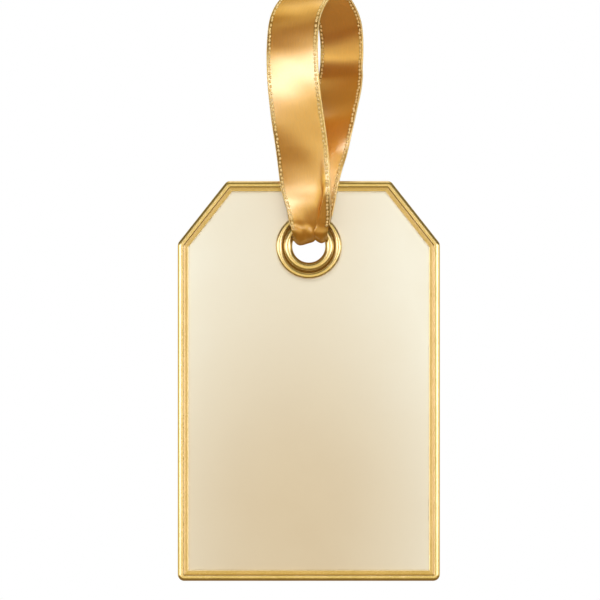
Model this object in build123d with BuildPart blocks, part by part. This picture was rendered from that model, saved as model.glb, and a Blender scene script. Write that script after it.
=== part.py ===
"""Gift tag: a gold-rimmed card with an eyelet, hung on a loop of satin ribbon.

The origin is the hanging point, on the inside of the ribbon loop's crown, above the eyelet.
X runs across the card, Z is up, and the card's front faces -Y.
"""

import os
from math import cos, radians, sin

from build123d import *

# Card, in millimetres as everything here
tag_width = 50.0
tag_height = 76.3
corner_across = 9.4
corner_down = 11.9
core_thickness = 0.9
panel_thickness = 0.4

# Rim round the card's edge, and the bead inside it
rim_width = 1.1
rim_wall = 0.25
rim_bead_height = 0.52
rim_corner_radius = 1.25
rim_seam_gap = 0.1
groove_width = 0.08
bead_width = 1.0
bead_height = 0.46
bead_round_share = 0.95

# Eyelet
eyelet_drop = 12.4
bore_diameter = 6.3
eyelet_wall = 0.3
washer_diameter = 12.7
curl_share = 0.547
washer_gap = 0.08
flange_diameter = 11.4
flange_round = 0.12
card_hole_clearance = 0.05

# Ribbon
ribbon_width = 10.0
ribbon_thickness = 0.3
hang_height = 48.6
crown_radius = 10.0
loop_depth = 17.6
loop_spread = 9.8
loop_offset = 1.65
near_turn = 20.0
far_turn = 38.0
strand_gap = 0.9
strand_clearance = 0.45
pleat_width = 1.45
pleat_fold = 149.0
pleat_edge = 0.06

# Gathered neck in the eyelet, with the roll that it bends over
neck_clearance = 0.12
neck_floor = 0.8
roll_radius = 1.7
roll_left = 3.1
roll_right = 3.65
roll_crease = 0.65
crease_depth = 0.35
fold_clearance = 0.3

# Knot and tails behind the eyelet
knot_width = 9.2
knot_height = 7.0
knot_depth = 4.0
knot_front_round = 0.5
knot_back_round = 1.6
knot_band_width = 3.4
knot_band_rise = 0.5
knot_band_round = 0.4
knot_band_tilt = 24.0
tail_length = 17.0
tail_splay = 42.0
tail_cut = 28.0
tail_root_across = 3.6
tail_root_height = 3.2
tail_root_depth = 3.2
tail_rise = 0.9

overrun = 2.0

# Heights and depths that several pieces share. Forward means towards -Y.
eyelet_z = -hang_height
card_top = eyelet_z + eyelet_drop
card_bottom = card_top - tag_height
half_width = tag_width / 2
core_front = core_thickness / 2
card_front = core_front + panel_thickness
bore_radius = bore_diameter / 2
barrel_radius = bore_radius + eyelet_wall
card_hole_radius = barrel_radius + card_hole_clearance
washer_top = card_front + eyelet_wall
curl_width = curl_share * (washer_diameter / 2 - bore_radius)
curl_radius = curl_width / 2
curl_middle = bore_radius + curl_radius
curl_front = washer_top + curl_radius
flange_back = card_front + eyelet_wall

# The roll's axis, which is the axis of the ribbon's fold, and the two strands above it
roll_forward = curl_front + strand_clearance + ribbon_thickness / 2
roll_z = eyelet_z + neck_floor + roll_radius
near_foot_forward = roll_forward + strand_gap + ribbon_thickness

card_outline = [
    (-half_width, card_bottom),
    (half_width, card_bottom),
    (half_width, card_top - corner_down),
    (half_width - corner_across, card_top),
    (corner_across - half_width, card_top),
    (-half_width, card_top - corner_down),
]

# Local x is the distance from the eyelet's axis and local y points forward.
eyelet_plane = Plane(origin=(0, 0, eyelet_z), x_dir=(1, 0, 0), z_dir=(0, 0, -1))
eyelet_axis = Axis((0, 0, eyelet_z), (0, 1, 0))


def card_layer(back, thickness):
    """A sheet of the card that reaches into the rim, with the eyelet's hole."""
    with BuildPart() as layer:
        with BuildSketch(Plane.XZ.offset(back)):
            Polygon(*card_outline, align=None)
            fillet(vertices(), radius=rim_corner_radius)
            offset(amount=-rim_wall, kind=Kind.INTERSECTION, mode=Mode.REPLACE)
            with Locations((0, eyelet_z)):
                Circle(card_hole_radius, mode=Mode.SUBTRACT)
        extrude(amount=thickness)
    return layer


core_board = card_layer(-core_front, core_thickness)
front_panel = card_layer(core_front, panel_thickness)
back_panel = card_layer(-card_front, panel_thickness)

# The rim is one strip folded round the edge. Its ends meet at the top, under the ribbon.
rim_rise = card_front + rim_bead_height
seam_side = rim_seam_gap / 2
with BuildPart() as edge_rim:
    with BuildLine(Plane.XZ) as rim_path:
        FilletPolyline(
            (seam_side, card_top),
            card_outline[3],
            card_outline[2],
            card_outline[1],
            card_outline[0],
            card_outline[5],
            card_outline[4],
            (-seam_side, card_top),
            radius=rim_corner_radius,
        )
    with BuildSketch(Plane(origin=(seam_side, 0, card_top), x_dir=(0, 0, -1), z_dir=(1, 0, 0))):
        with BuildLine():
            Line((0, -card_front), (0, card_front))
            ThreePointArc((0, card_front), (rim_width / 2, rim_rise), (rim_width, card_front))
            Line((rim_width, card_front), (rim_wall, card_front))
            Line((rim_wall, card_front), (rim_wall, -card_front))
            Line((rim_wall, -card_front), (rim_width, -card_front))
            ThreePointArc((rim_width, -card_front), (rim_width / 2, -rim_rise), (0, -card_front))
        make_face()
    sweep(path=rim_path.wires()[0])

# The inner bead is a half-round frame with mitred corners, lying on the front panel.
with BuildPart() as inner_bead:
    with BuildSketch(Plane.XZ.offset(card_front)):
        Polygon(*card_outline, align=None)
        offset(amount=-rim_width - groove_width, kind=Kind.INTERSECTION, mode=Mode.REPLACE)
        offset(amount=-bead_width, kind=Kind.INTERSECTION, mode=Mode.SUBTRACT)
    extrude(amount=bead_height)
    bead_round = bead_round_share * min(bead_width / 2, bead_height)
    fillet(faces().sort_by(Axis.Y)[0].edges(), radius=bead_round)

# The washer is a domed ring. Its flat lip lies on the panel, under the barrel's curl.
dome_inner = bore_radius + curl_width + washer_gap
dome_outer = washer_diameter / 2
dome_radius = (dome_outer - dome_inner) / 2
dome_middle = dome_inner + dome_radius
with BuildPart() as eyelet_washer:
    with BuildSketch(eyelet_plane):
        with BuildLine():
            Line((card_hole_radius, card_front), (card_hole_radius, washer_top))
            Line((card_hole_radius, washer_top), (dome_inner, washer_top))
            ThreePointArc(
                (dome_inner, washer_top),
                (dome_middle, washer_top + dome_radius),
                (dome_outer, washer_top),
            )
            Line((dome_outer, washer_top), (dome_outer, card_front))
            Line((dome_outer, card_front), (dome_outer - eyelet_wall, card_front))
            Line((dome_outer - eyelet_wall, card_front), (dome_outer - eyelet_wall, washer_top))
            ThreePointArc(
                (dome_outer - eyelet_wall, washer_top),
                (dome_middle, washer_top + dome_radius - eyelet_wall),
                (dome_inner + eyelet_wall, washer_top),
            )
            Line((dome_inner + eyelet_wall, washer_top), (dome_inner + eyelet_wall, card_front))
            Line((dome_inner + eyelet_wall, card_front), (card_hole_radius, card_front))
        make_face()
    revolve(axis=eyelet_axis)

# The barrel runs through the card: curled over the washer in front, flanged behind.
flange_radius = flange_diameter / 2
curl_end = bore_radius + curl_width
with BuildPart() as eyelet_barrel:
    with BuildSketch(eyelet_plane):
        with BuildLine():
            Line((bore_radius, -flange_back), (bore_radius, washer_top))
            ThreePointArc((bore_radius, washer_top), (curl_middle, curl_front), (curl_end, washer_top))
            Line((curl_end, washer_top), (curl_end - eyelet_wall, washer_top))
            ThreePointArc(
                (curl_end - eyelet_wall, washer_top),
                (curl_middle, curl_front - eyelet_wall),
                (barrel_radius, washer_top),
            )
            Line((barrel_radius, washer_top), (barrel_radius, -card_front))
            Line((barrel_radius, -card_front), (flange_radius, -card_front))
            Line((flange_radius, -card_front), (flange_radius, -flange_back))
            Line((flange_radius, -flange_back), (bore_radius, -flange_back))
        make_face()
    revolve(axis=eyelet_axis)
    flange_rims = edges().filter_by(GeomType.CIRCLE).group_by(Axis.Y)[-1]
    fillet(flange_rims, radius=flange_round)

# The loop's centre line: up the near strand, over the crown and down the far strand.
# Each strand is a table of shares, from its foot at the roll to its head at the crown:
# height, lean towards the head, sideways place, width, turn, fold of the pleat.
# Where the ribbon lies open, the pleat's crease is all but flat.
open_share = 0.003
near_strand_shares = [
    (0.00, 0.00, 0.00, 1.00, 0.00, 1.00),
    (0.08, 0.05, 0.06, 1.00, 0.00, 0.96),
    (0.16, 0.23, 0.15, 1.00, 0.00, 0.80),
    (0.26, 0.38, 0.29, 1.00, 0.02, 0.52),
    (0.41, 0.53, 0.45, 1.00, 0.12, 0.16),
    (0.58, 0.77, 0.66, 1.00, 0.40, 0.02),
    (0.76, 0.96, 0.87, 1.00, 0.75, open_share),
]
far_strand_shares = [
    (0.00, 0.00, 0.00, 0.70, 0.00, open_share),
    (0.13, 0.00, 0.13, 0.74, 0.00, open_share),
    (0.26, 0.00, 0.22, 0.83, 0.04, open_share),
    (0.39, 0.00, 0.32, 0.92, 0.10, open_share),
    (0.49, 0.01, 0.42, 0.98, 0.20, open_share),
    (0.61, 0.22, 0.62, 1.00, 0.50, open_share),
    (0.75, 0.65, 0.86, 1.00, 0.85, open_share),
    (0.88, 0.93, 0.97, 1.00, 1.00, open_share),
]
# The pleat's place across the ribbon, and how much of its step lies behind the centre line
pleat_place_share = 0.60
pleat_back_share = 0.70
crown_steps = 6

crown_top = ribbon_thickness / 2
spring_z = crown_top - crown_radius
loop_middle = Vector(loop_offset, -loop_offset * loop_spread / loop_depth, spring_z)
half_loop = Vector(loop_spread / 2, loop_depth / 2, 0)
near_head = loop_middle - half_loop
far_head = loop_middle + half_loop
foot_x = (roll_right - roll_left) / 2
near_foot = Vector(foot_x, -near_foot_forward, roll_z)
far_foot = Vector(foot_x, -roll_forward, roll_z)


def strand_stations(foot, head, head_turn, shares):
    """Centre, width, turn and pleat of each section of a strand, from its foot up."""
    stations = []
    for height, lean, side, width, turn, fold in shares:
        rise = head - foot
        centre = foot + Vector(rise.X * side, rise.Y * lean, rise.Z * height)
        stations.append((centre, width * ribbon_width, turn * head_turn, fold * pleat_fold))
    return stations


near_stations = strand_stations(near_foot, near_head, near_turn, near_strand_shares)
far_stations = strand_stations(far_foot, far_head, far_turn, far_strand_shares)
crown_stations = []
for step in range(crown_steps + 1):
    share = step / crown_steps
    angle = radians(180 * share)
    centre = loop_middle - half_loop * cos(angle) + Vector(0, 0, crown_radius * sin(angle))
    turn = near_turn + (far_turn - near_turn) * share
    crown_stations.append((centre, ribbon_width, turn, open_share * pleat_fold))
stations = near_stations + crown_stations + far_stations[::-1]
centres = [station[0] for station in stations]


def pleated_section(width, fold):
    """Outline of the ribbon's section: flat up to the pleat, then turned back over itself by the
    fold's angle for the pleat's width, then flat again to the other edge. x runs across the ribbon
    and y towards its inside."""
    half = ribbon_thickness / 2
    bend = radians(fold)
    outward = Vector(0, -1)
    pleat_along = Vector(cos(bend), -sin(bend))
    pleat_outward = Vector(-sin(bend), -cos(bend))
    first_edge = Vector(0, 0)
    first_fold = Vector(width * pleat_place_share, 0)
    last_fold = first_fold + pleat_along * pleat_width
    last_edge = last_fold + Vector(width - first_fold.X - pleat_width, 0)
    inside = (outward + pleat_outward) * (half / (1 + outward.dot(pleat_outward)))
    setback = Vector(pleat_edge, 0)
    points = [
        first_edge - outward * half,
        first_fold - outward * half - setback,
        first_fold - pleat_outward * half + pleat_along * pleat_edge,
        last_fold - inside,
        last_edge - outward * half,
        last_edge + outward * half,
        last_fold + outward * half + setback,
        last_fold + pleat_outward * half - pleat_along * pleat_edge,
        first_fold + inside,
        first_edge + outward * half,
    ]
    middle = Vector(last_edge.X / 2, last_edge.Y * pleat_back_share)
    return [(point.X - middle.X, point.Y - middle.Y) for point in points]


# The loop is three lofts, none of them bent by more than half a turn.
crown_start = len(near_stations) + crown_steps // 3
crown_end = len(near_stations) + crown_steps - crown_steps // 3
last_station = len(stations) - 1
with BuildPart() as ribbon_loop:
    for first, last in ((0, crown_start), (crown_start, crown_end), (crown_end, last_station)):
        for index in range(first, last + 1):
            centre, width, turn, fold = stations[index]
            along = centres[min(index + 1, last_station)] - centres[max(index - 1, 0)]
            across = Vector(cos(radians(turn)), -sin(radians(turn)), 0)
            with BuildSketch(Plane(origin=centre, x_dir=across, z_dir=along)):
                Polygon(*pleated_section(width, fold), align=None)
        loft()
    # Both feet end just clear of the roll, on a cylinder about its axis.
    with BuildSketch(Plane.YZ.offset(-ribbon_width)):
        with Locations((-roll_forward, roll_z)):
            Circle(roll_radius + fold_clearance)
    extrude(amount=2 * ribbon_width, mode=Mode.SUBTRACT)

# The neck: two gathered lobes rolled over the eyelet's mouth, and the bundle through its bore.
neck_radius = bore_radius - neck_clearance
knot_front = flange_back + fold_clearance
lobe_radius = roll_radius - crease_depth
left_middle = (roll_crease - roll_left) / 2
right_middle = (roll_crease + roll_right) / 2
roll_axis = Axis((0, -roll_forward, roll_z), (1, 0, 0))
with BuildPart() as ribbon_neck:
    with BuildSketch(Plane(origin=(0, -roll_forward, roll_z), x_dir=(1, 0, 0), z_dir=(0, -1, 0))):
        with BuildLine():
            Line((-roll_left, 0), (-roll_left, lobe_radius))
            ThreePointArc(
                (-roll_left, lobe_radius), (left_middle, roll_radius), (roll_crease, lobe_radius)
            )
            ThreePointArc(
                (roll_crease, lobe_radius), (right_middle, roll_radius), (roll_right, lobe_radius)
            )
            Line((roll_right, lobe_radius), (roll_right, 0))
            Line((roll_right, 0), (-roll_left, 0))
        make_face()
    revolve(axis=roll_axis)
    # Room for the eyelet's curl and dome, so that the card can turn about the bore.
    with BuildSketch(eyelet_plane):
        reach = curl_front + neck_clearance
        with BuildLine():
            Line((neck_radius, -flange_back), (neck_radius, washer_top))
            RadiusArc((neck_radius, washer_top), (curl_middle, reach), reach - washer_top)
            Line((curl_middle, reach), (washer_diameter, reach))
            Line((washer_diameter, reach), (washer_diameter, -flange_back))
            Line((washer_diameter, -flange_back), (neck_radius, -flange_back))
        make_face()
    revolve(axis=eyelet_axis, mode=Mode.SUBTRACT)
    # The bundle fills the upper part of the bore, from the roll to the knot.
    with BuildSketch(Plane.XZ.offset(-knot_front)):
        with Locations((0, eyelet_z)):
            Circle(neck_radius)
        with Locations((0, eyelet_z + neck_floor)):
            Rectangle(bore_diameter, bore_diameter, align=(Align.CENTER, Align.MIN), mode=Mode.INTERSECT)
    extrude(amount=knot_front + washer_top)

# The knot is a flattened lump with one turn of ribbon across it, seated behind the eyelet.
knot_z = eyelet_z + neck_floor + knot_height / 2
knot_plane = Plane(origin=(0, knot_front, knot_z), x_dir=(1, 0, 0), z_dir=(0, 1, 0))
with BuildPart() as ribbon_knot:
    with BuildSketch(knot_plane):
        Ellipse(knot_width / 2, knot_height / 2)
    extrude(amount=knot_depth)
    fillet(faces().sort_by(Axis.Y)[-1].edges(), radius=knot_back_round)
    fillet(faces().sort_by(Axis.Y)[0].edges(), radius=knot_front_round)
    with BuildPart(mode=Mode.PRIVATE) as band:
        with BuildSketch(knot_plane.offset(knot_depth / 2)):
            Rectangle(knot_width, knot_band_width, rotation=knot_band_tilt)
        extrude(amount=knot_depth / 2 + knot_band_rise)
        with BuildSketch(knot_plane):
            Ellipse(knot_width / 2 - knot_band_rise, knot_height / 2 - knot_band_rise)
        extrude(amount=knot_depth + overrun, mode=Mode.INTERSECT)
        fillet(faces().sort_by(Axis.Y)[-1].edges(), radius=knot_band_round)
    add(band.part)


def ribbon_tail(side):
    """A tail from the knot's side, flaring to full width and cut on the slant."""
    splay = radians(tail_splay)
    along = Vector(side * sin(splay), 0, -cos(splay))
    across = Vector(cos(splay), 0, side * sin(splay))
    root = Vector(side * tail_root_across, knot_front + tail_root_depth, eyelet_z + tail_root_height)
    # Shares along the tail, of its width, and of its rise towards the card
    tail_shares = [(0.0, 0.38, 0.0), (0.3, 0.64, 0.7), (0.6, 0.96, 1.0), (1.0, 1.0, 0.5)]
    with BuildPart() as tail:
        for place, width, rise in tail_shares:
            centre = root + along * (tail_length * place) - Vector(0, tail_rise * rise, 0)
            slant = side * tail_cut * place
            section = Plane(origin=centre, x_dir=across, z_dir=along).rotated((0, slant, 0))
            with BuildSketch(section):
                Rectangle(width * ribbon_width / cos(radians(slant)), ribbon_thickness)
        loft()
        add(ribbon_knot.part, mode=Mode.SUBTRACT)
    return tail


ribbon_tail_left = ribbon_tail(-1)
ribbon_tail_right = ribbon_tail(1)

pieces = {
    "core_board": core_board,
    "front_panel": front_panel,
    "back_panel": back_panel,
    "edge_rim": edge_rim,
    "inner_bead": inner_bead,
    "eyelet_washer": eyelet_washer,
    "eyelet_barrel": eyelet_barrel,
    "ribbon_loop": ribbon_loop,
    "ribbon_neck": ribbon_neck,
    "ribbon_knot": ribbon_knot,
    "ribbon_tail_left": ribbon_tail_left,
    "ribbon_tail_right": ribbon_tail_right,
}
os.makedirs("parts", exist_ok=True)
for name, piece in pieces.items():
    piece.part.label = name
    export_step(piece.part, f"parts/{name}.step")
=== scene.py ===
import bpy
import numpy as np
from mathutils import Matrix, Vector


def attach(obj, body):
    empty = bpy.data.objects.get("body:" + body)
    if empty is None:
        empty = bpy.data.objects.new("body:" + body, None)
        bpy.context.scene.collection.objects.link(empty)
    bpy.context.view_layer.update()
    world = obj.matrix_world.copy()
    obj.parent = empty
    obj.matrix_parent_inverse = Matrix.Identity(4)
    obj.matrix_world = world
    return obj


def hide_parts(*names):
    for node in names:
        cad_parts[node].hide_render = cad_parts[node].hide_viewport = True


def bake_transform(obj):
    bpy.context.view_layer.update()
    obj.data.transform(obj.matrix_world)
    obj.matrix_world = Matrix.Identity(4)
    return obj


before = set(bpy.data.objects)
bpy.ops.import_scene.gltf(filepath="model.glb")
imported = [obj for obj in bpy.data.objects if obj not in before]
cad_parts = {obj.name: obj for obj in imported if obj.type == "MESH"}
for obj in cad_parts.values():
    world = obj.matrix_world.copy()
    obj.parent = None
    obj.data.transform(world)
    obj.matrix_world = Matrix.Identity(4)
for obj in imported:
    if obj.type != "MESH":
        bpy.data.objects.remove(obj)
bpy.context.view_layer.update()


# Core board: grey pulp board, die-cut to the card's outline, that stiffens the tag.
# The two faces are glued to it and the rim grips its edge, so it hardly shows.
class Shade:
    """A socket of a node tree. Arithmetic on it adds Math nodes, and node() adds any other node."""

    def __init__(self, tree, socket=None):
        self.tree = tree
        self.socket = socket

    def node(self, kind, settings, inputs, output=0):
        """Adds a node: first its settings, then the values or links of its sockets."""
        made = self.tree.nodes.new(kind)
        for key, value in settings.items():
            setattr(made, key, value)
        for key, value in inputs.items():
            if isinstance(value, Shade):
                value.feed(made.inputs[key])
            else:
                made.inputs[key].default_value = value
        return Shade(self.tree, made.outputs[output])

    def feed(self, socket):
        """Links this value to a socket of another node."""
        self.tree.links.new(self.socket, socket)

    def also(self, output):
        """Another output of the same node."""
        return Shade(self.tree, self.socket.node.outputs[output])

    def math(self, operation, first, second):
        """One step of arithmetic on two values."""
        return self.node("ShaderNodeMath", {"operation": operation}, {0: first, 1: second})

    def mix(self, first, second):
        """The first colour where this value is 0, the second where it is 1."""
        return self.node("ShaderNodeMix", {"data_type": "RGBA"}, {0: self, 6: first, 7: second}, 2)

    def between(self, low, high):
        """0 where this value is at low, 1 where it is at high, eased between them."""
        return self.node(
            "ShaderNodeMapRange",
            {"interpolation_type": "SMOOTHSTEP"},
            {"Value": self, "From Min": low, "From Max": high},
        )

    def __abs__(self):
        return self.math("ABSOLUTE", self, 0.0)

    def __add__(self, other):
        return self.math("ADD", self, other)

    def __radd__(self, other):
        return self.math("ADD", other, self)

    def __sub__(self, other):
        return self.math("SUBTRACT", self, other)

    def __rsub__(self, other):
        return self.math("SUBTRACT", other, self)

    def __mul__(self, other):
        return self.math("MULTIPLY", self, other)

    def __rmul__(self, other):
        return self.math("MULTIPLY", other, self)


def new_material(name, fixed):
    """A material with these fixed values on its shader's sockets."""
    material = bpy.data.materials.new(name)
    material.use_nodes = True
    shader = material.node_tree.nodes["Principled BSDF"]
    for socket, value in fixed.items():
        shader.inputs[socket].default_value = value
    return material, Shade(material.node_tree), shader


def vary(shader, changing):
    """Links the values that change over the surface to the shader's sockets."""
    for socket, value in changing.items():
        value.feed(shader.inputs[socket])


def noise(tree, where, scale, detail):
    """Cloudy noise from 0 to 1; detail is how many finer layers lie over the first."""
    return tree.node("ShaderNodeTexNoise", {}, {"Vector": where, "Scale": scale, "Detail": detail})


def bump(tree, height, strength, distance):
    """A surface roughened by a height from 0 to 1, which stands for a distance in metres."""
    inputs = {"Height": height, "Strength": strength, "Distance": distance}
    return tree.node("ShaderNodeBump", {}, inputs)


def cover(node, material):
    """Gives a solid of the frame its material."""
    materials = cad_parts[node].data.materials
    materials.clear()
    materials.append(material)


pulp_dark, pulp_pale = (0.22, 0.20, 0.17, 1), (0.46, 0.43, 0.38, 1)
board, tree, shader = new_material("grey_board", {"Roughness": 0.92, "Specular IOR Level": 0.2})
place = tree.node("ShaderNodeTexCoord", {}, {}, "Object")
pulp = noise(tree, place, scale=1400.0, detail=6.0)
vary(shader, {
    "Base Color": pulp.mix(pulp_dark, pulp_pale),
    "Normal": bump(tree, pulp, strength=0.4, distance=0.00005),
})
cover("core_board", board)


# Front and back faces: champagne paper with a pearl coating, smooth and satin, laminated on to the
# board. They are plain, ready to be written on. Their colour is painted lighter towards the top and
# the sides and darker in the lower middle: painted light and shade.
card_middle, card_half_width, card_height = -0.0744, 0.025, 0.0763
card_shaded, card_painted_lit = (0.695, 0.562, 0.368, 1), (0.945, 0.900, 0.745, 1)
card_clouded, cloud_share = (0.82, 0.71, 0.50, 1), 0.12
painted_light_at_top, painted_light_at_right, painted_light_at_sides = 0.64, 0.13, 0.52
card, tree, shader = new_material("champagne_card", {
    "Specular IOR Level": 0.35,
    "Coat Roughness": 0.45,
})
place = tree.node("ShaderNodeTexCoord", {}, {}, "Object")
across = tree.node("ShaderNodeSeparateXYZ", {}, {"Vector": place}, "X")
side = across * (1 / card_half_width)
above = (across.also("Z") - card_middle) * (1 / card_height)
# Painted light and shade: the base colour is lighter towards the top and the sides, more to the
# right, and darker in the lower middle.
painted_light = (
    above.between(-0.35, 0.35) * painted_light_at_top
    + side * painted_light_at_right
    + side * side * painted_light_at_sides
)
grain = noise(tree, place, scale=5200.0, detail=4.0)
cloud = noise(tree, place, scale=90.0, detail=3.0)
painted_light_tone = painted_light.mix(card_shaded, card_painted_lit)
vary(shader, {
    "Base Color": (cloud.between(0.3, 0.7) * cloud_share).mix(painted_light_tone, card_clouded),
    "Roughness": 0.42 + grain * 0.12,
    "Coat Weight": 0.08 + cloud * 0.06,
    "Normal": bump(tree, grain, strength=0.12, distance=0.00002),
})
for panel in ("front_panel", "back_panel"):
    cover(panel, card)


# Edge rim: a strip of gold-plated brass, folded round the card's edge into a rounded bead with
# a small step on each face. Its corners are tightly rounded.
def lay_grid(name, points, close_rows=False, close_columns=False, cloth=None, tone=None):
    """A mesh of quads over a grid of points, rows by columns, in millimetres. A closed direction
    joins its last line of points to its first. Where only one direction is closed, one face shuts
    each end of the tube. cloth is each point's place on the flat ribbon. tone is a value for each
    point from 0 to 1: on metal it sets the painted shade of a recess and the painted highlight, on
    the ribbon how far the weave is crushed and painted darker as shade."""
    rows, columns = points.shape[:2]
    row = np.arange(rows if close_rows else rows - 1)[:, None]
    column = np.arange(columns if close_columns else columns - 1)[None, :]
    next_row, next_column = (row + 1) % rows, (column + 1) % columns
    corners = np.broadcast_arrays(
        row * columns + column,
        row * columns + next_column,
        next_row * columns + next_column,
        next_row * columns + column,
    )
    faces = np.stack(corners, axis=-1).reshape(-1, 4).tolist()
    number = np.arange(rows * columns).reshape(rows, columns)
    if close_columns and not close_rows:
        faces += [number[0, ::-1].tolist(), number[-1].tolist()]
    if close_rows and not close_columns:
        faces += [number[:, 0].tolist(), number[::-1, -1].tolist()]
    mesh = bpy.data.meshes.new(name)
    mesh.from_pydata(points.reshape(-1, 3) * 0.001, [], faces)
    mesh.shade_smooth()
    if cloth is not None:
        layer = mesh.uv_layers.new(name="cloth")
        used = np.empty(len(mesh.loops), np.int32)
        mesh.loops.foreach_get("vertex_index", used)
        layer.data.foreach_set("uv", cloth.reshape(-1, 2)[used].astype(np.float32).ravel())
    if tone is not None:
        shade = mesh.attributes.new("tone", "FLOAT", "POINT")
        value = np.broadcast_to(tone, (rows, columns)).astype(np.float32)
        shade.data.foreach_set("value", value.ravel())
    made = bpy.data.objects.new(name, mesh)
    bpy.context.scene.collection.objects.link(made)
    return made


def arc(middle, radii, start, end, count):
    """Points of an elliptical arc about its middle, from one angle in degrees to another."""
    angle = np.radians(np.linspace(start, end, count))
    x, y = radii[0] * np.cos(angle), radii[1] * np.sin(angle)
    return np.stack([middle[0] + x, middle[1] + y], axis=-1)


def crown(middle, half_width, height, power, count):
    """Points over a bead: the height falls off with the power-th power of the distance from the
    middle, as on a superellipse, so that a higher power gives a flatter crest."""
    angle = np.linspace(np.pi, 0, count)
    x, y = np.cos(angle), np.sin(angle)
    reach = (np.abs(x) ** power + np.abs(y) ** power) ** (-1 / power)
    return np.stack([middle[0] + half_width * x * reach, middle[1] + height * y * reach], axis=-1)


def carry_round(outline, profile, corner_radius, least_radius, steps):
    """Carries a profile of (inset, forward) points round an outline. At a corner a point that is
    inset by a turns about a centre on the mitre line, on a radius of corner_radius - a, but no
    less than least_radius, so that each point of the profile runs parallel to the outline."""
    edge = np.roll(outline, -1, axis=0) - outline
    edge = edge / np.linalg.norm(edge, axis=1, keepdims=True)
    inward = np.stack([-edge[:, 1], edge[:, 0]], axis=-1)
    before = np.roll(inward, 1, axis=0)
    mitre = (before + inward) / (1 + np.sum(before * inward, axis=1, keepdims=True))
    first = np.arctan2(before[:, 1], before[:, 0])
    turn = np.arctan2(inward[:, 1], inward[:, 0]) - first
    turn = (turn + np.pi) % (2 * np.pi) - np.pi
    angle = first[:, None] + turn[:, None] * np.linspace(0, 1, steps)[None, :]
    facing = np.stack([np.cos(angle), np.sin(angle)], axis=-1)
    inset, forward = profile[:, 0], profile[:, 1]
    radius = np.maximum(corner_radius - inset, least_radius)
    flat = (
        outline[:, None, None, :]
        + mitre[:, None, None, :] * (inset + radius)[None, None, :, None]
        - facing[:, :, None, :] * radius[None, None, :, None]
    ).reshape(-1, len(profile), 2)
    depth = np.broadcast_to(-forward, flat.shape[:2])
    return np.stack([flat[..., 0], depth, flat[..., 1]], axis=-1)


card_outline = np.array([
    (-25.0, -112.5), (25.0, -112.5), (25.0, -48.1), (15.6, -36.2), (-15.6, -36.2), (-25.0, -48.1),
])
card_front = 0.85
rim_width, rim_height, rim_wall, rim_fullness = 1.1, 0.52, 0.25, 2.1
shoulder, step, step_fall, lining_tuck = 0.75, 0.10, 0.01, 0.02
crest_points = 49
crest = crown((shoulder, 0.0), shoulder, rim_height, rim_fullness, crest_points)
rim_bead = np.concatenate([
    crest[: crest_points // 2 + 1],
    arc((rim_width - step, rim_height - step - step_fall), (step, step), 90, 0, 7),
    [(rim_width, 0.0)],
])
front_bead = rim_bead + (0.0, card_front)
back_bead = (rim_bead * (1.0, -1.0) - (0.0, card_front))[::-1]
lining = np.array([(rim_wall, card_front - lining_tuck), (rim_wall, lining_tuck - card_front)])
rim_profile = np.concatenate([front_bead, lining, back_bead])
rim_points = carry_round(
    card_outline, rim_profile, corner_radius=1.25, least_radius=0.06, steps=11
)

# The plating's colour is painted dark as shade in a recess, plain in the open, and pale where a
# highlight is painted.
in_recess, in_the_open, painted_highlight = 0.0, 0.5, 1.0
plate_deep, plate_light = (0.80, 0.66, 0.48, 1), (0.86, 0.71, 0.55, 1)
plate_painted_shade, plate_painted_highlight = (0.45, 0.27, 0.10, 1), (0.96, 0.87, 0.72, 1)
gold, tree, shader = new_material("gold_metal", {
    "Metallic": 1.0,
    "Coat IOR": 1.7,
    "Coat Roughness": 0.25,
})
place = tree.node("ShaderNodeTexCoord", {}, {}, "Object")
lustre = noise(tree, place, scale=260.0, detail=3.0)
rub = noise(tree, place, scale=3000.0, detail=2.0)
tone = tree.node("ShaderNodeAttribute", {"attribute_name": "tone"}, {}, "Fac")
opened = tone.between(in_recess, in_the_open)
plate = opened.mix(plate_painted_shade, lustre.between(0.35, 0.65).mix(plate_deep, plate_light))
vary(shader, {
    "Base Color": tone.between(in_the_open, painted_highlight).mix(plate, plate_painted_highlight),
    "Roughness": 0.20 + rub * 0.10,
    "Coat Weight": opened * 0.5,
    "Normal": bump(tree, rub, strength=0.05, distance=0.00001),
})


def lay_plated(name, points, tone):
    """A gold-plated piece over a grid closed both ways, with its edges sharp from 50 degrees up."""
    made = lay_grid(name, points, close_rows=True, close_columns=True, tone=tone)
    made.data.set_sharp_from_angle(angle=np.radians(50))
    made.data.materials.append(gold)
    return made


# Painted shade: the rim's inner foot, against the card, is painted dark.
rim_across = rim_profile[:, 0] / rim_width
rim_tone = np.interp(rim_across, [0.0, 0.94, 1.0], [in_the_open, in_the_open, in_recess])
edge_rim = lay_plated("edge_rim_strip", rim_points[:, ::-1], rim_tone[::-1])
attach(edge_rim, "tag")
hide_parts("edge_rim")


# Inner bead: gold-plated wire, rolled flat on top, with a bevel towards the middle of the card.
# It is bent to the card's shape against the rim and glued to the front face. Its corners are
# mitred inside and only a little rounded outside.
bead_inset, bead_width, bead_height = 1.11, 1.07, 0.46
bead_inner, bead_top = bead_inset + bead_width, card_front + bead_height
edge, edge_fall, nose, nose_shift, bevel = 0.10, 0.02, 0.14, 0.03, 61.0
sole_inset, sole_sink, bead_corner = 0.1, 0.02, 0.17
bead_top_shade = 0.24
bevel_run = bead_height / np.tan(np.radians(bevel))
bead_profile = np.concatenate([
    [(bead_inset, card_front)],
    arc((bead_inset + edge, bead_top - edge_fall - edge), (edge, edge), 180, 92, 7),
    arc((bead_inner - bevel_run - nose_shift, bead_top - nose), (nose, nose), 90, 90 - bevel, 9),
    [(bead_inner, card_front)],
    [(bead_inner - sole_inset, card_front - sole_sink)],
    [(bead_inset + sole_inset, card_front - sole_sink)],
])
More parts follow.
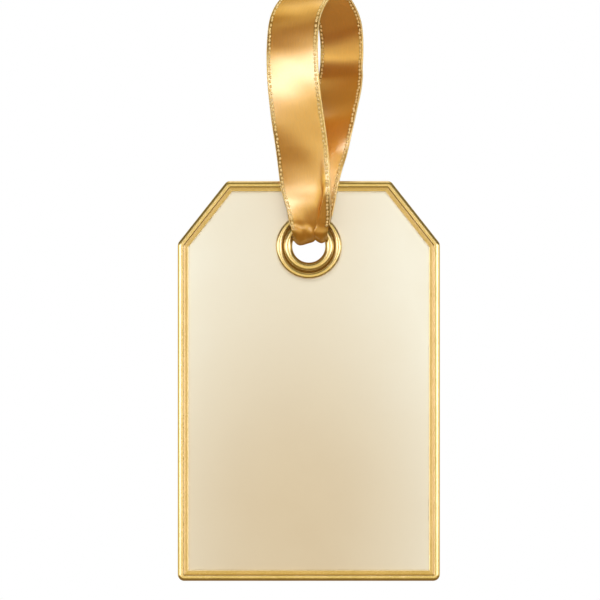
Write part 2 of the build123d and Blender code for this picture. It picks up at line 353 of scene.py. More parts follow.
bead_points = carry_round(
    card_outline, bead_profile, corner_radius=bead_inset + bead_corner, least_radius=0.05, steps=9
)
# Painted shade and highlight: the bead's outer foot is painted dark, its flat top half dark, and
# its bevel pale.
bead_across = (bead_profile[:, 0] - bead_inset) / bead_width
bead_tones = [in_recess, bead_top_shade, bead_top_shade, painted_highlight]
bead_tone = np.interp(bead_across, [0.0, 0.04, 0.72, 0.82], bead_tones)
inner_bead = lay_plated("inner_bead_wire", bead_points[:, ::-1], bead_tone[::-1])
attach(inner_bead, "tag")
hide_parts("inner_bead")


# Eyelet washer: a ring pressed from brass sheet and gold plated. Its domed outer part stands on
# the card and its flat lip is clamped under the barrel's curl.
def spin(profile, axis_z, steps):
    """Turns a closed profile of (distance, forward) points about the eyelet's axis, which runs
    along Y at height axis_z."""
    angle = np.linspace(0, 2 * np.pi, steps, endpoint=False)[:, None]
    distance, forward = profile[:, 0][None, :], profile[:, 1][None, :]
    depth = np.broadcast_to(-forward, (steps, len(profile)))
    return np.stack([distance * np.cos(angle), depth, axis_z + distance * np.sin(angle)], axis=-1)


eyelet_z, eyelet_steps = -48.6, 144
bore, wall, curl_width = 3.15, 0.3, 1.75
card_hole, curl_gap, ring_fullness = 3.5, 0.08, 2.3
washer_top = card_front + wall
dome_inner, dome_outer = bore + curl_width + curl_gap, 6.35
dome_middle, dome_radius = (dome_inner + dome_outer) / 2, (dome_outer - dome_inner) / 2
dome = crown((dome_middle, washer_top), dome_radius, dome_radius, ring_fullness, 37)
hollow = arc((dome_middle, washer_top), (dome_radius - wall, dome_radius - wall), 0, 180, 17)
washer_profile = np.concatenate([
    [(card_hole, card_front), (card_hole, washer_top)],
    dome,
    [(dome_outer, card_front), (dome_outer - wall, card_front)],
    hollow,
    [(dome_inner + wall, card_front)],
])
# Painted shade: the washer's lip under the curl and the inner foot of its dome are painted dark.
washer_places = [0.0, dome_inner + 0.02, dome_inner + 0.22, dome_outer]
washer_tones = [in_recess, in_recess, in_the_open, in_the_open]
washer_tone = np.interp(washer_profile[:, 0], washer_places, washer_tones)
washer_points = spin(washer_profile, eyelet_z, eyelet_steps)
washer = lay_plated("eyelet_washer_ring", washer_points, washer_tone)
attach(washer, "tag")
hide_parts("eyelet_washer")


# Eyelet barrel: a drawn brass tube through the card. Its front end is curled over the washer by
# the setting tool, and its rear end is a flat flange against the back face.
flange_radius, flange_round, curl_shadow = 5.7, 0.12, 0.25
flange_edge = -card_front - wall + flange_round
rounding = (flange_round, -flange_round)
curl_middle, curl_radius = bore + curl_width / 2, curl_width / 2
curl = crown((curl_middle, washer_top), curl_radius, curl_radius, ring_fullness, 37)
inside = arc((curl_middle, washer_top), (curl_radius - wall, curl_radius - wall), 0, 180, 17)
barrel_profile = np.concatenate([
    [(bore, flange_edge), (bore, 0.0)],
    curl,
    inside,
    [(bore + wall, -card_front), (flange_radius, -card_front), (flange_radius, flange_edge)],
    arc((flange_radius - flange_round, flange_edge), rounding, 0, 90, 7)[1:],
    arc((bore + flange_round, flange_edge), rounding, 90, 180, 7)[:-1],
])
# Painted shade: the front of the curl's outer edge, against the washer, is painted dark.
curl_end = bore + curl_width
curl_places, curl_tones = [curl_end - curl_shadow, curl_end], [in_the_open, in_recess]
barrel_tone = np.interp(barrel_profile[:, 0], curl_places, curl_tones)
barrel_tone = np.where(barrel_profile[:, 1] > 0, barrel_tone, in_the_open)
barrel_points = spin(barrel_profile, eyelet_z, eyelet_steps)
barrel = lay_plated("eyelet_barrel_tube", barrel_points, barrel_tone)
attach(barrel, "tag")
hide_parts("eyelet_barrel")


# Ribbon: one 10 mm satin ribbon, woven with the warp floating on both faces, the inner one a
# little duller. From the knot it comes out through the eyelet, goes up in front, over the crown,
# and back down behind itself into the eyelet.
def smooth_line(stations, count):
    """A curve through stations, in rows: a cubic between each two, spaced by the distance between
    their first three columns, with the slope at a station taken from its two neighbours."""
    gap = np.linalg.norm(np.diff(stations[:, :3], axis=0), axis=1)
    place = np.concatenate([[0.0], np.cumsum(gap)])
    slope = np.gradient(stations, place, axis=0)
    at = np.linspace(0, place[-1], count)
    span = np.clip(np.searchsorted(place, at, side="right") - 1, 0, len(gap) - 1)
    length = gap[span][:, None]
    t = (at[:, None] - place[span][:, None]) / length
    return (
        stations[span] * (2 * t**3 - 3 * t**2 + 1)
        + stations[span + 1] * (3 * t**2 - 2 * t**3)
        + slope[span] * length * (t**3 - 2 * t**2 + t)
        + slope[span + 1] * length * (t**3 - t**2)
    )


def unit(vectors):
    """The same directions with length 1."""
    return vectors / np.linalg.norm(vectors, axis=-1, keepdims=True)


def ease(value):
    """0 below 0, 1 above 1, smooth between."""
    value = np.clip(value, 0, 1)
    return value * value * (3 - 2 * value)


def hang_strip(centre, across, angle, width, squeeze):
    """Points of a strip of ribbon. Each row starts at one edge and runs to the other, leaving the
    across direction by an angle towards the outside, so the row keeps the ribbon's width however
    it is folded; squeeze then crowds it. Sideways its middle lies on the centre line, and outwards
    the point a quarter of the way across does."""
    along = unit(np.gradient(centre, axis=0))
    outside = unit(np.cross(across, along))
    across = np.cross(along, outside)
    step = width / (angle.shape[1] - 1)
    middle = (angle[:, 1:] + angle[:, :-1]) / 2
    start = np.zeros((len(angle), 1))
    sideways = np.concatenate([start, np.cumsum(np.cos(middle), axis=1)], axis=1) * step
    outward = np.concatenate([start, np.cumsum(np.sin(middle), axis=1)], axis=1) * step
    sideways = (sideways - (sideways[:, :1] + sideways[:, -1:]) / 2) * squeeze[:, None]
    outward = (outward - outward[:, outward.shape[1] // 4][:, None]) * squeeze[:, None]
    points = (
        centre[:, None, :]
        + across[:, None, :] * sideways[..., None]
        + outside[:, None, :] * outward[..., None]
    )
    return points, along, outside


def thicken(strip, thickness, inner_material=0):
    """Gives a strip its thickness in millimetres, half to each side. inner_material counts on from
    the outer face's material to that of the inner face."""
    solid = strip.modifiers.new("thickness", "SOLIDIFY")
    solid.thickness, solid.offset = thickness * 0.001, 0.0
    solid.material_offset = inner_material


# Each station: place (x, y, z), turn of the ribbon about the vertical, angle of its pleat, where
# the pleat starts and ends across the ribbon, how softly it bends, and how far it is crowded.
# Across its width the ribbon is cupped a little, and it dips just before a sharp pleat.
ribbon_stations = np.array([
    (0.10, 2.40, -46.50, 0, 150, 0.56, 0.72, 0.08, 0.55),
    (0.12, 0.60, -46.70, 0, 160, 0.56, 0.72, 0.08, 0.58),
    (0.18, -1.30, -47.15, 0, 165, 0.56, 0.72, 0.08, 0.72),
    (0.25, -2.75, -47.90, 0, 168, 0.56, 0.715, 0.08, 0.96),
    (0.25, -4.25, -47.08, 0, 168, 0.56, 0.713, 0.08, 1.0),
    (0.22, -4.82, -46.25, 0, 168, 0.56, 0.713, 0.08, 1.0),
    (0.20, -4.98, -45.50, 0, 168, 0.590, 0.723, 0.08, 1.0),
    (0.18, -5.05, -44.80, 3, 168, 0.62, 0.740, 0.08, 1.0),
    (0.12, -5.47, -43.60, 7, 164, 0.670, 0.772, 0.08, 1.0),
    (-0.05, -6.07, -41.40, 14, 152, 0.735, 0.820, 0.10, 1.0),
    (-0.28, -6.30, -39.20, 17, 104, 0.800, 0.885, 0.12, 1.0),
    (-0.66, -6.46, -36.70, 18, 48, 0.840, 0.910, 0.13, 1.0),
    (-1.03, -6.98, -33.30, 17, 16, 0.860, 0.925, 0.14, 1.0),
    (-1.46, -7.90, -29.40, 14, 4, 0.860, 0.930, 0.16, 1.0),
    (-2.10, -8.82, -25.00, 13, 1, 0.760, 0.950, 0.28, 1.0),
    (-2.70, -9.50, -20.50, 16, 0, 0.760, 0.920, 0.28, 1.0),
    (-3.12, -9.75, -15.60, 18, 0, 0.720, 0.880, 0.30, 1.0),
    (-3.20, -9.55, -10.80, 20, 0, 0.62, 0.800, 0.30, 1.0),
    (-2.59, -8.20, -5.20, 22, 0, 0.60, 0.750, 0.30, 1.0),
    (-0.45, -5.10, -1.25, 25, 0, 0.55, 0.700, 0.30, 1.0),
    (1.65, -0.92, 0.12, 29, 0, 0.50, 0.650, 0.30, 1.0),
    (3.80, 3.40, -1.25, 33, 0, 0.45, 0.600, 0.30, 1.0),
    (5.89, 6.15, -5.30, 36, 0, 0.40, 0.550, 0.30, 1.0),
    (6.48, 7.66, -10.60, 38, 0, 0.35, 0.500, 0.30, 1.0),
    (6.43, 7.85, -13.00, 38, 0, 0.33, 0.480, 0.30, 1.0),
    (6.20, 7.30, -15.50, 37, 0, 0.31, 0.460, 0.30, 1.0),
    (5.77, 5.55, -18.00, 34, 0, 0.28, 0.430, 0.30, 1.0),
    (5.30, 3.65, -20.00, 30, 0, 0.26, 0.410, 0.30, 1.0),
    (4.72, 1.65, -22.00, 25, 0, 0.24, 0.390, 0.28, 1.0),
    (3.94, -0.45, -24.40, 16, 4, 0.20, 0.350, 0.25, 1.0),
    (3.12, -1.75, -27.00, 8, 10, 0.20, 0.350, 0.22, 1.0),
    (2.48, -2.45, -29.50, 2, 26, 0.20, 0.350, 0.18, 1.0),
    (1.98, -2.95, -32.00, -5, 54, 0.20, 0.340, 0.13, 1.0),
    (1.40, -3.25, -36.70, -8, 100, 0.20, 0.340, 0.08, 1.0),
    (1.00, -3.05, -41.40, -5, 140, 0.20, 0.350, 0.08, 1.0),
    (0.45, -2.70, -44.20, 0, 150, 0.20, 0.350, 0.08, 0.95),
    (0.30, -2.10, -45.60, 0, 150, 0.20, 0.350, 0.08, 0.75),
    (0.20, -0.90, -46.25, 0, 150, 0.20, 0.350, 0.08, 0.55),
    (0.15, 0.80, -46.35, 0, 150, 0.20, 0.350, 0.08, 0.48),
    (0.10, 2.40, -46.20, 0, 150, 0.20, 0.350, 0.08, 0.48),
])
ribbon_width, ribbon_thickness = 10.0, 0.3
rows, columns = 340, 76
cup_angle = np.radians(5.0)
dip_angle, full_pleat, dip_width, dip_before = np.radians(70.0), 168, 0.07, 1.3
line = smooth_line(ribbon_stations, rows)
centre, turn = line[:, :3], np.radians(line[:, 3])
pleat_angle, pleat_start, pleat_end, bend, crowding = (line[:, k:k + 1] for k in range(4, 9))
u = np.linspace(0, 1, columns)[None, :]
pleat = ease((u - pleat_start) / bend + 0.5) * (1 - ease((u - pleat_end) / bend + 0.5))
cup = cup_angle * (1 - 2 * u)
dip_place = np.exp(-(((u - pleat_start) / dip_width + dip_before) ** 2))
dip = dip_angle * (pleat_angle / full_pleat) ** 3 * dip_place
angle = np.radians(pleat_angle) * pleat + cup - dip
flat_across = np.stack([np.cos(turn), -np.sin(turn), np.zeros(rows)], axis=-1)
band, along, outside = hang_strip(centre, flat_across, angle, ribbon_width, crowding[:, 0])
run = np.concatenate([[0.0], np.cumsum(np.linalg.norm(np.diff(centre, axis=0), axis=1))])
half = rows // 2

# The gathered roll at the eyelet: a broad left lobe and a folded right one hang a little lower
# than the fold between them, and both draw up at the ribbon's edges. Fine gathers follow it, and
# a slow ripple runs along the whole ribbon.
lobe_places = [0.0, 0.04, 0.10, 0.20, 0.33, 0.45, 0.56, 0.64, 0.70, 0.735, 0.78, 0.90, 0.96, 1.0]
lobe_depths = [-0.5, 0.20, 0.60, 0.42, 0.0, -0.4, -1.6, -2.2, -1.8, -1.2, -0.4, 0.30, 0.10, -0.6]
lobe_blur, roll_length = 7, 2.0
ripple_height, ripple_length, ripple_slant, ripple_swell = 0.03, 11.0, 0.9, 31.0
gather_height, gather_after, gather_length = 0.13, 2.6, 2.2
gather_count, gather_slant = 4.3, 0.11
lobes = np.pad(np.interp(u[0], lobe_places, lobe_depths), lobe_blur // 2, "edge")
lobes = np.convolve(lobes, np.full(lobe_blur, 1 / lobe_blur), "valid")
row_run = run[:, None]
past_roll = row_run - run[np.argmin(centre[:half, 2])]
at_roll = np.exp(-((past_roll / roll_length) ** 2))
ripple = ripple_height * np.sin(2 * np.pi * (row_run / ripple_length + ripple_slant * u))
ripple = ripple * np.sin(2 * np.pi * row_run / ripple_swell)
gathers = gather_height * np.exp(-(((past_roll - gather_after) / gather_length) ** 2))
gathers = gathers * np.sin(2 * np.pi * (gather_count * u + gather_slant * row_run))
puff = at_roll * lobes[None, :] + ripple + gathers * np.sin(np.pi * u)
band = band + outside[:, None, :] * puff[..., None]
cloth = np.stack(np.broadcast_arrays(u * ribbon_width, row_run), axis=-1)

# The weave is crushed, and duller, where it is gathered at the eyelet and where the far strand
# bends, and there its colour is painted darker as shade.
near_gather_z, near_fade, far_gather_z, far_fade = -46.0, 3.5, -41.0, 5.0
far_bend_z, far_bend_length, far_bend_crush_and_shade = -20.5, 4.5, 0.85
row_z = centre[:, 2]
far = (np.arange(rows) > half) * 1.0
crush_and_shade_near = 1 - ease((row_z - near_gather_z) / near_fade)
crush_and_shade_bend = far_bend_crush_and_shade * np.exp(-(((row_z - far_bend_z) / far_bend_length) ** 2))
crush_and_shade_far = np.maximum(1 - ease((row_z - far_gather_z) / far_fade), crush_and_shade_bend)
crush_and_shade = crush_and_shade_near * (1 - far) + crush_and_shade_far * far
ribbon = lay_grid("ribbon_band", band, cloth=cloth, tone=crush_and_shade[:, None])
# The gloss is drawn out one way, left to right, over the whole loop: its direction turns about an
# axis that lies a metre behind.
ribbon.data.use_auto_texspace = False
ribbon.data.texspace_location, ribbon.data.texspace_size = (0.0, 1.0, 0.0), (1.0, 1.0, 1.0)
thicken(ribbon, ribbon_thickness, inner_material=1)


def weave_satin(name, thread_dark, thread_light, glint, sheen):
    """A face of the ribbon: warp floats catch the light across the ribbon, glint is its colour and
    sheen how much they throw back. A strip near each edge is painted darker as the stitches'
    shadow, crushed cloth is duller and painted darker as shade, and all of it lies a little uneven."""
    thread_painted_shade, thread_stitch_shadow = (0.36, 0.105, 0.001, 1), (0.40, 0.14, 0.004, 1)
    satin, tree, shader = new_material(name, {
        "Metallic": 0.12,
        "IOR": 1.6 + 1.0 * sheen,
        "Specular IOR Level": 1.0,
        "Specular Tint": glint,
        "Anisotropic": 0.95,
        "Coat IOR": 4.6,
        "Coat Roughness": 0.27,
        "Coat Tint": (1.0, 0.88, 0.48, 1),
    })
    place = tree.node("ShaderNodeUVMap", {"uv_map": "cloth"}, {})
    warp_place = tree.node("ShaderNodeMapping", {}, {"Vector": place, "Scale": (4.0, 0.5, 1.0)})
    warp = noise(tree, warp_place, scale=1.0, detail=3.0)
    weft = noise(tree, place, scale=2.2, detail=4.0)
    floats = warp * 0.4 + weft * 0.6
    crumple = noise(tree, place, scale=0.26, detail=2.0)
    from_middle = tree.node("ShaderNodeSeparateXYZ", {}, {"Vector": place}, "X") - ribbon_width / 2
    # Painted shadow of the stitches: a strip near each edge is painted darker.
    stitch_shadow = abs(from_middle).between(4.05, 4.40)
    crushed_and_shaded = tree.node("ShaderNodeAttribute", {"attribute_name": "tone"}, {}, "Fac")
    threads = floats.between(0.32, 0.68).mix(thread_dark, thread_light)
    # Painted shade: crushed cloth is painted darker.
    shaded_threads = (crushed_and_shaded * 0.75).mix(threads, thread_painted_shade)
    vary(shader, {
        "Base Color": stitch_shadow.mix(shaded_threads, thread_stitch_shadow),
        "Coat Weight": (1 - crushed_and_shaded * 0.8) * (0.70 + weft * 0.60) * (0.9 * sheen**2),
        "Roughness": 0.34 + weft * 0.12 + crushed_and_shaded * 0.24,
        "Normal": bump(tree, floats + crumple * 4.0, strength=0.28, distance=0.00004),
    })
    return satin


satin = weave_satin(
    "gold_satin",
    thread_dark=(0.72, 0.235, 0.003, 1),
    thread_light=(0.95, 0.355, 0.010, 1),
    glint=(1.0, 0.86, 0.34, 1),
    sheen=1.0,
)
satin_back = weave_satin(
    "gold_satin_back",
    thread_dark=(0.68, 0.190, 0.002, 1),
    thread_light=(0.88, 0.280, 0.006, 1),
    glint=(1.0, 0.78, 0.28, 1),
    sheen=0.97,
)
ribbon.data.materials.append(satin)
ribbon.data.materials.append(satin_back)
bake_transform(ribbon)
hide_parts("ribbon_loop", "ribbon_neck")


# Edge stitching: metallic thread sewn over both edges of the ribbon by machine. A cord runs in
# the edge itself, and every 0.8 mm a stitch stands beside it as a small bead, on both faces.
def edge_line(edge, outward, face, spacing):
    """The edge with its outward and face directions, at equal spacing along it."""
    step = np.concatenate([[0.0], np.cumsum(np.linalg.norm(np.diff(edge, axis=0), axis=1))])
    at = np.arange(0, step[-1], spacing)
    spread = [np.interp(at, step, values) for block in (edge, outward, face) for values in block.T]
    edge, outward, face = (np.stack(spread[k:k + 3], axis=-1) for k in (0, 3, 6))
    return edge, unit(outward), unit(face)


def edge_cord(edge, outward, face, radius):
    """A round cord in the edge: a ring of eight points about each point of the edge."""
    ring = np.linspace(0, 2 * np.pi, 8, endpoint=False)[None, :, None]
    spoke = outward[:, None, :] * np.cos(ring) + face[:, None, :] * np.sin(ring)
    return edge[:, None, :] + radius * spoke


def edge_beads(edge, outward, face, inset, half_sizes, lift):
    """Stitches beside the edge: at each point an ellipsoid, inset from the edge and lifted off the
    ribbon's middle, once on each face, and a little out of place. Its poles lie along the edge."""
    unevenness, pole = 0.07, 0.12
    forward = unit(np.gradient(edge, axis=0))
    uneven = np.random.default_rng(7).normal(0.0, unevenness, (len(edge), 2))
    sewn_at = edge - outward * (inset + uneven[:, :1]) + forward * uneven[:, 1:]
    middle = np.concatenate([sewn_at + face * lift, sewn_at - face * lift])
    axes = [np.concatenate([block, block])[:, None, None, :] for block in (forward, outward, face)]
    tilt = np.linspace(pole, np.pi - pole, 5)[None, :, None, None]
    ring = np.linspace(0, 2 * np.pi, 7, endpoint=False)[None, None, :, None]
    return middle[:, None, None, :] + (
        axes[0] * half_sizes[0] * np.cos(tilt)
        + axes[1] * half_sizes[1] * np.sin(tilt) * np.cos(ring)
        + axes[2] * half_sizes[2] * np.sin(tilt) * np.sin(ring)
    )


def lay_beads(name, beads):
    """One mesh of many small grids, given as (bead, row, column) points in millimetres. Each is
    closed round its columns, and one face shuts each of its poles."""
    count, rows, columns = beads.shape[:3]
    first = (np.arange(count) * rows * columns)[:, None, None]
    row = (np.arange(rows - 1) * columns)[None, :, None]
    column = np.arange(columns)[None, None, :]
    beside = (column + 1) % columns
    corners = np.broadcast_arrays(
        first + row + column,
        first + row + beside,
        first + row + columns + beside,
        first + row + columns + column,
    )
    faces = np.stack(corners, axis=-1).reshape(-1, 4).tolist()
    number = np.arange(count * rows * columns).reshape(count, rows, columns)
    faces += np.concatenate([number[:, 0, ::-1], number[:, -1]]).tolist()
    mesh = bpy.data.meshes.new(name)
    mesh.from_pydata(beads.reshape(-1, 3) * 0.001, [], faces)
    mesh.shade_smooth()
    made = bpy.data.objects.new(name, mesh)
    bpy.context.scene.collection.objects.link(made)
    return made


stitch_pitch, cord_pitch, cord_radius = 0.78, 0.4, 0.16
stitch_inset, stitch_half_sizes, stitch_lift = 0.46, (0.33, 0.26, 0.17), 0.15
near_stitch_z, far_stitch_z = -44.8, -42.5
thread_deep, thread_pale = (0.92, 0.62, 0.22, 1), (1.0, 0.82, 0.46, 1)
stitching, tree, shader = new_material("gold_thread", {"Metallic": 0.4})
place = tree.node("ShaderNodeTexCoord", {}, {}, "Object")
twist = noise(tree, place, scale=5000.0, detail=2.0)
vary(shader, {
    "Base Color": twist.between(0.3, 0.7).mix(thread_deep, thread_pale),
    "Roughness": 0.28 + twist * 0.15,
})


def stitch_edges(name, strip, forward, sides):
    """Cord and stitches along both edges of a strip. Each side has its name, its edge's column and
    the column next to that. Returns the new pieces."""
    made = []
    for side, column, inner in sides:
        edge = strip[:, column]
        outward = unit(edge - strip[:, inner])
        face = unit(np.cross(outward, forward))
        cord = edge_cord(*edge_line(edge, outward, face, cord_pitch), cord_radius)
        seam = edge_line(edge, outward, face, stitch_pitch)
        beads = edge_beads(*seam, stitch_inset, stitch_half_sizes, stitch_lift)
        made.append(lay_grid(name + "_cord_" + side, cord[:, ::-1], close_columns=True))
        made.append(lay_beads(name + "_stitches_" + side, beads))
    for piece in made:
        piece.data.materials.append(stitching)
    return made


first_sewn = np.argmin(np.abs(row_z[:half] - near_stitch_z))
last_sewn = half + np.argmin(np.abs(row_z[half:] - far_stitch_z))
sewn = slice(first_sewn, last_sewn)
ribbon_edges = stitch_edges(
    "ribbon", band[sewn], along[sewn], (("left", 0, 1), ("right", columns - 1, columns - 2))
)
for piece in ribbon_edges:
    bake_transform(piece)


# Knot: both ends of the ribbon tied once behind the eyelet, so that they can't pull through.
# One turn of gathered ribbon lies slantwise over two puffs.
knot_middle, backward = np.array([0.0, 3.4, -43.9]), np.array([0.0, 1.0, 0.0])
puff_half_width, puff_half_depth, puff_half_height = 4.3, 1.9, 3.1
crimp_depth, crimp_count, crimp_slant, puff_pole = 0.045, 7, 1.5, 0.02
cloth_around, cloth_down = 4.0, 5.0
around = np.linspace(0, 2 * np.pi, 72, endpoint=False)[:, None]
down = np.linspace(puff_pole, np.pi - puff_pole, 36)[None, :]
crimp = crimp_depth * np.cos(crimp_count * around + crimp_slant * np.cos(down))
girth = (1 + crimp * np.sin(down) ** 2) * np.sin(down)
lump = knot_middle + np.stack([
    puff_half_width * girth * np.cos(around),
    np.broadcast_to(-puff_half_depth * np.cos(down), girth.shape),
    puff_half_height * girth * np.sin(around),
], axis=-1)
lump_cloth = np.stack(np.broadcast_arrays(around * cloth_around, down * cloth_down), axis=-1)
knot = lay_grid("ribbon_knot_puffs", lump, close_rows=True, cloth=lump_cloth)
knot.data.materials.append(satin)
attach(knot, "gather")
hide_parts("ribbon_knot")

wrap_tilt, wrap_reach, wrap_radius = np.radians(16.0), 118, 3.2
wrap_half_height, wrap_half_depth, wrap_round = 3.3, 2.35, 0.25
wrap_half_width, wrap_waist = 1.75, 0.25
fold_depth, fold_count, fold_slant = 0.16, 2.0, 0.6
wrap_along = np.array([-np.sin(wrap_tilt), 0.0, np.cos(wrap_tilt)])
wrap_across = np.array([np.cos(wrap_tilt), 0.0, np.sin(wrap_tilt)])
over = np.radians(np.linspace(-wrap_reach, wrap_reach, 64))[:, None]
v = np.linspace(-1, 1, 40)[None, :]
fold = fold_depth * np.cos(2 * np.pi * fold_count * v + fold_slant * over) * (1 - v**4)
wrap_depth = wrap_half_depth + fold - wrap_round * v**2
wrap = (
    knot_middle
    + wrap_along * ((wrap_half_height + fold) * np.sin(over))[..., None]
    + backward * (wrap_depth * np.cos(over))[..., None]
    + wrap_across * (v * (wrap_half_width - wrap_waist * np.cos(over)))[..., None]
)
wrap_cloth = np.broadcast_arrays((v + 1) * (ribbon_width / 2), over * wrap_radius)
wrap_cloth = np.stack(wrap_cloth, axis=-1)
knot_wrap = lay_grid("ribbon_knot_turn", wrap[:, ::-1], cloth=wrap_cloth[:, ::-1])
thicken(knot_wrap, ribbon_thickness)
knot_wrap.data.materials.append(satin)
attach(knot_wrap, "gather")


# Tails: the two cut ends of the ribbon. They come out of the knot gathered, open to the full
# width and are cut on the slant.
tail_length, splay, slant_angle = 18.0, np.radians(42.0), np.radians(28.0)
root_side, root_depth, root_z = 3.1, 4.3, -44.6
tail_lift, tip_sink, tail_wave = 0.75, 0.5, 0.08
pucker_angle, pucker_count = np.radians(100.0), 2.5
opens_from, opens_over = 0.15, 0.70
tail_columns = 48
s = np.linspace(0, 1, 56)
w = np.linspace(0, 1, tail_columns)[None, :]
rise = tail_lift * np.sin(np.pi * s) - tip_sink * s
pucker = pucker_angle * (1 - ease((s - opens_from) / opens_over))[:, None]
tail_angle = pucker * np.sin(2 * np.pi * pucker_count * w)
tail_angle = tail_angle + tail_wave * np.sin(2 * np.pi * (w + s[:, None]))
tail_cloth = np.stack(np.broadcast_arrays(w * ribbon_width, tail_length * s[:, None]), axis=-1)
tail_sides = (("inner", 0, 1), ("outer", tail_columns - 1, tail_columns - 2))
for name, side in (("left", -1), ("right", 1)):
    heading = np.array([side * np.sin(splay), 0.0, -np.cos(splay)])
    tail_across = np.array([np.cos(splay), 0.0, side * np.sin(splay)])
    root = np.array([side * root_side, root_depth, root_z])
    tail_centre = root + heading * (tail_length * s)[:, None] - backward * rise[:, None]
    tail_across = np.broadcast_to(tail_across, tail_centre.shape)
    tail, tail_along, _ = hang_strip(
        tail_centre, tail_across, tail_angle, ribbon_width, np.ones(len(s))
    )
    slant = np.tan(slant_angle) * (w - 0.5) * ribbon_width * side
    tail = tail + tail_along[:, None, :] * (slant * s[:, None] ** 2)[..., None]
    tail_end = lay_grid("ribbon_end_" + name, tail, cloth=tail_cloth)
    thicken(tail_end, ribbon_thickness)
    tail_end.data.materials.append(satin)
    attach(tail_end, "gather")
    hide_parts("ribbon_tail_" + name)
    tail_forward = unit(np.gradient(tail[:, tail_columns // 2], axis=0))
    tail_edges = stitch_edges("ribbon_end_" + name, tail, tail_forward, tail_sides)
    for piece in tail_edges:
        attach(piece, "gather")


# Studio: a pale table far below and a white surround. Two lamps at the tag's height, left and
# right of the camera, show only in the gloss. Lamps above, in front and behind give even light.
table_half, table_z = 800.0, -450.0
table_pale, table_white = (0.86, 0.86, 0.85, 1), (0.90, 0.90, 0.89, 1)
table_grey = (0.40, 0.38, 0.35, 1)
gloss_front, gloss_behind = (0.27, 0.18, 0.045, 1), (0.42, 0.29, 0.08, 1)
white, seen_share = (1, 1, 1, 1), 0.9
table = lay_grid("table", np.array([
    [(-table_half, -table_half, table_z), (table_half, -table_half, table_z)],
    [(-table_half, table_half, table_z), (table_half, table_half, table_z)],
]))
pale, tree, shader = new_material("pale_table", {"Roughness": 0.8})
path = tree.node("ShaderNodeLightPath", {}, {}, "Is Camera Ray")
gloss = path.also("Is Glossy Ray")
seen = path * seen_share + gloss + path.also("Is Transmission Ray") * seen_share
place = tree.node("ShaderNodeTexCoord", {}, {}, "Object")
behind = tree.node("ShaderNodeSeparateXYZ", {}, {"Vector": place}, "Y").between(0.0, 0.3)
speck = noise(tree, place, scale=60.0, detail=2.0)
table_top = speck.mix(table_pale, table_white)
vary(shader, {"Base Color": path.also("Is Diffuse Ray").mix(table_top, table_grey)})
# In the gloss the table glows dim and warm, darker in front than behind: a painted reflection of
# the room, not its colour.
shown = gloss.mix(white, behind.mix(gloss_front, gloss_behind))
glow = tree.node("ShaderNodeEmission", {}, {"Color": shown, "Strength": 1.0}, "Emission")
lit = Shade(tree.tree, shader.outputs[0])
both = tree.node("ShaderNodeMixShader", {}, {0: seen, 1: lit, 2: glow}, "Shader")
both.feed(tree.tree.nodes["Material Output"].inputs["Surface"])
table.data.materials.append(pale)

# In the gloss the room is dim and warm. A bright band at the tag's height is narrower and brighter
# to the sides. In front the floor and the ceiling are paler, with a light in each upper corner,
# and the rear wall is even.
room, room_at_sides, floor_light, corner_light = 0.10, 0.06, 0.27, 0.8
band_level, band_at_sides, high_light, ceiling_light = 0.72, 0.30, 0.7, 1.3
rear_wall, ambient_light, ambient_fall = 0.5, 0.33, 0.04
warm = (1.0, 0.81, 0.25, 1)
scene = bpy.context.scene
scene.world = bpy.data.worlds.new("studio")
scene.world.use_nodes = True
tree = Shade(scene.world.node_tree)
path = tree.node("ShaderNodeLightPath", {}, {}, "Is Camera Ray")
clear = (path + path.also("Is Transmission Ray")).between(0.0, 1.0)
gloss = path.also("Is Glossy Ray")
facing = tree.node("ShaderNodeTexCoord", {}, {}, "Generated")
behind = tree.node("ShaderNodeSeparateXYZ", {}, {"Vector": facing}, "Y")
up = behind.also("Z")
reach = abs(behind.also("X"))
turned = reach.between(0.45, 0.65)
ahead = 1 - turned
below = (up * -1.0).between(0.0, 0.25)
ceiling = up.between(0.90, 0.99)
corner = (reach * up).between(0.30, 0.42) * (behind * -1.0).between(0.32, 0.50)
band_edge = 0.14 - turned * 0.06
band_end = 0.60 + below * ahead * 0.38 - turned * 0.30
band_light = 1 - abs(up).between(band_edge, band_end)
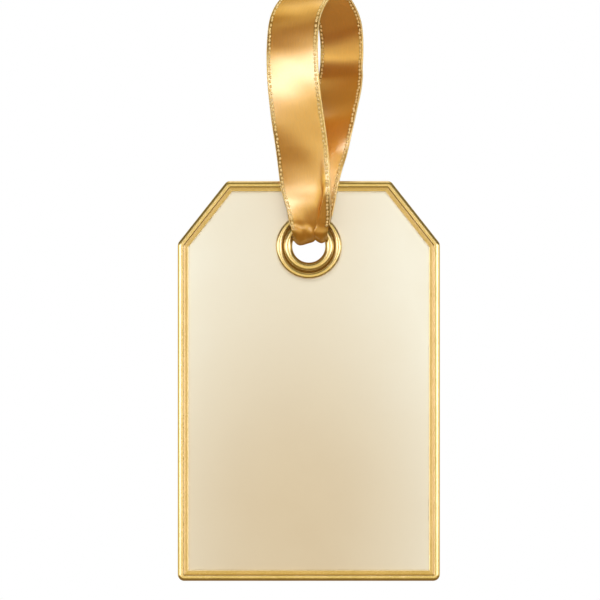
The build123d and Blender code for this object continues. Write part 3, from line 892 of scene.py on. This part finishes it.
front = (
    room
    - turned * room_at_sides
    + below * ahead * floor_light
    + band_light * (band_level + turned * band_at_sides)
    + up.between(0.66, 0.92) * ahead * high_light
    + corner * corner_light
)
overhead = ceiling * ahead * ceiling_light
rear = behind.between(-0.05, 0.35)
gloss_level = front + overhead + rear * (rear_wall - front - overhead)
ambient = ambient_light - up.between(-0.8, 0.8) * ambient_fall
level = gloss * gloss_level + (1 - gloss) * ambient
strength = clear + (1 - clear) * level
warmth = (gloss * (1 - ceiling * 0.5)).mix(white, warm)
backdrop = tree.tree.nodes["Background"]
strength.feed(backdrop.inputs["Strength"])
warmth.feed(backdrop.inputs["Color"])
tag_middle = (0.0, 0.0, -0.058)


def softbox(name, place, width, height, power, shows_in):
    """A rectangular lamp that faces the tag's middle. It shows in the gloss or gives diffuse light,
    but not both."""
    lamp = bpy.data.lights.new(name, "AREA")
    lamp.shape, lamp.size, lamp.size_y, lamp.energy = "RECTANGLE", width, height, power
    made = bpy.data.objects.new(name, lamp)
    made.location = place
    away = Vector(tag_middle) - Vector(place)
    made.rotation_mode = "QUATERNION"
    made.rotation_quaternion = away.to_track_quat("-Z", "Y")
    made.visible_glossy = shows_in == "gloss"
    made.visible_diffuse = shows_in == "light"
    scene.collection.objects.link(made)


for lamp in (
    ("left_lamp", (-0.67, -1.12, -0.05), 0.90, 0.30, 1.95, "gloss"),
    ("right_lamp", (0.67, -1.12, -0.05), 0.90, 0.30, 1.95, "gloss"),
    ("top_lamp", (0.0, -0.90, 0.80), 0.9, 0.6, 4.4, "light"),
    ("front_lamp", (0.0, -1.30, -0.06), 0.25, 0.25, 8.2, "light"),
    ("back_lamp", (0.0, 1.30, 0.10), 0.6, 0.6, 9.0, "light"),
):
    softbox(*lamp)

# Camera: level with the tag and square to it, from far enough that its sides stay parallel.
camera = bpy.data.objects.new("camera", bpy.data.cameras.new("camera"))
camera.data.lens, camera.data.sensor_width = 300.0, 36.0
camera.location = (-0.00168, -0.955, -0.0589)
camera.rotation_euler = (np.pi / 2, 0.0, 0.0)
scene.collection.objects.link(camera)
scene.camera = camera
scene.view_settings.view_transform = "Standard"
